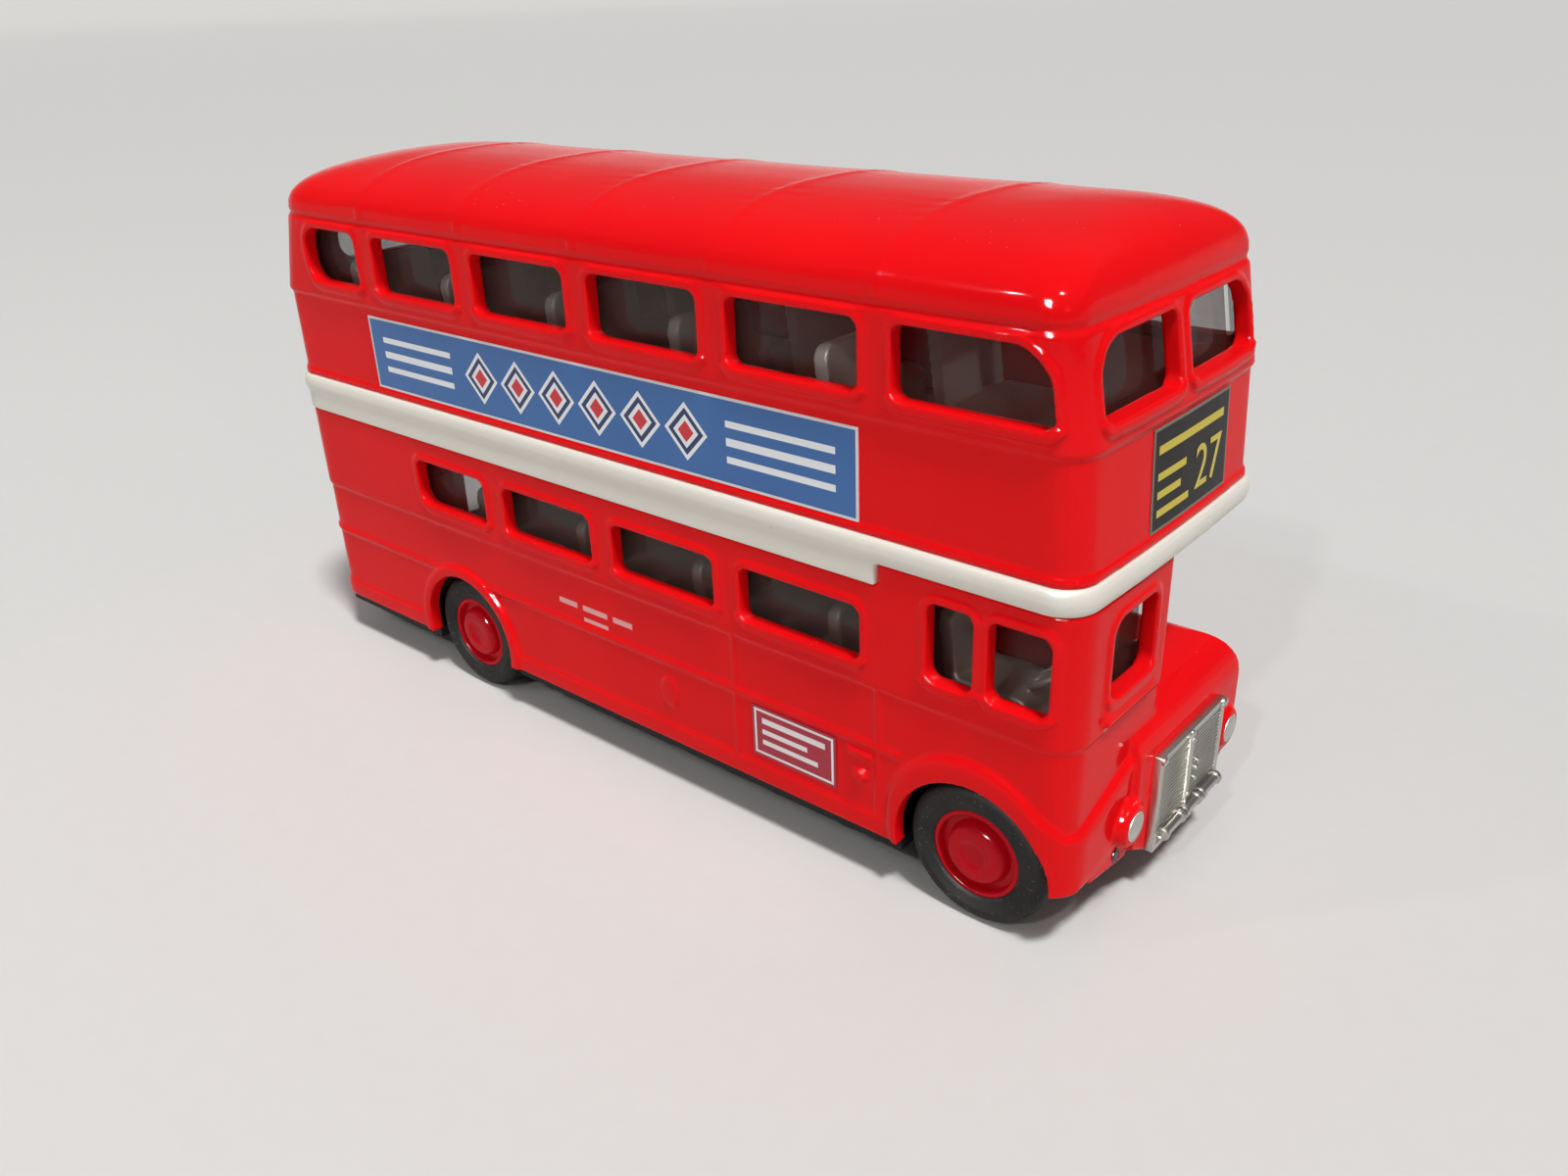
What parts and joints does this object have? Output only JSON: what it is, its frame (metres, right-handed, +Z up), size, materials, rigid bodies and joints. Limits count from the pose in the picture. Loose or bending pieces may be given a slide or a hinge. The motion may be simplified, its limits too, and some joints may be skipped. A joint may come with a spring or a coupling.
{
  "type": "toy double-deck bus",
  "caption": "Die-cast toy half-cab double-deck bus with an open rear platform, a moulded deck with seats, clear windows, a plated grille and rubber-tyred wheels that roll freely.",
  "frame": {"origin": "on the ground under the middle of the bus's length and width", "axes": "+X forward, +Y to the left, +Z up"},
  "size_m": [0.1238, 0.0374, 0.0673],
  "materials": {
    "body_paint": "gloss",
    "band_plastic": "satin",
    "interior_plastic": "matte",
    "clear_plastic": "clear gloss",
    "plated": "polished",
    "base_paint": "satin",
    "steel": "bright",
    "hub_paint": "semi-gloss",
    "rubber": "matte",
    "label_blue": "satin",
    "label_black": "satin",
    "label_red": "satin"
  },
  "bodies": {
    "bus": {"upper_body": "body_paint", "lower_body": "body_paint", "deck_moulding": "band_plastic", "lower_interior": "interior_plastic", "upper_glazing": "clear_plastic", "lower_glazing": "clear_plastic", "grille_and_bumper": "plated", "baseplate": "base_paint", "base_rivets": "steel", "side_label": "label_blue", "front_label": "label_black", "notice_label": "label_red"},
    "front_wheels": {"front_axle": "steel", "hub_front_right": "hub_paint", "hub_front_left": "hub_paint", "tyre_front_right": "rubber", "tyre_front_left": "rubber"},
    "rear_wheels": {"rear_axle": "steel", "hub_rear_right": "hub_paint", "hub_rear_left": "hub_paint", "tyre_rear_right": "rubber", "tyre_rear_left": "rubber"}
  },
  "joints": [
    {"name": "front_roll", "type": "hinge", "parent": "bus", "child": "front_wheels", "pos_m": [0.04875, 0, 0.00775], "axis": [0, 1, 0], "continuous": true},
    {"name": "rear_roll", "type": "hinge", "parent": "bus", "child": "rear_wheels", "pos_m": [-0.02905, 0, 0.00775], "axis": [0, 1, 0], "continuous": true}
  ]
}
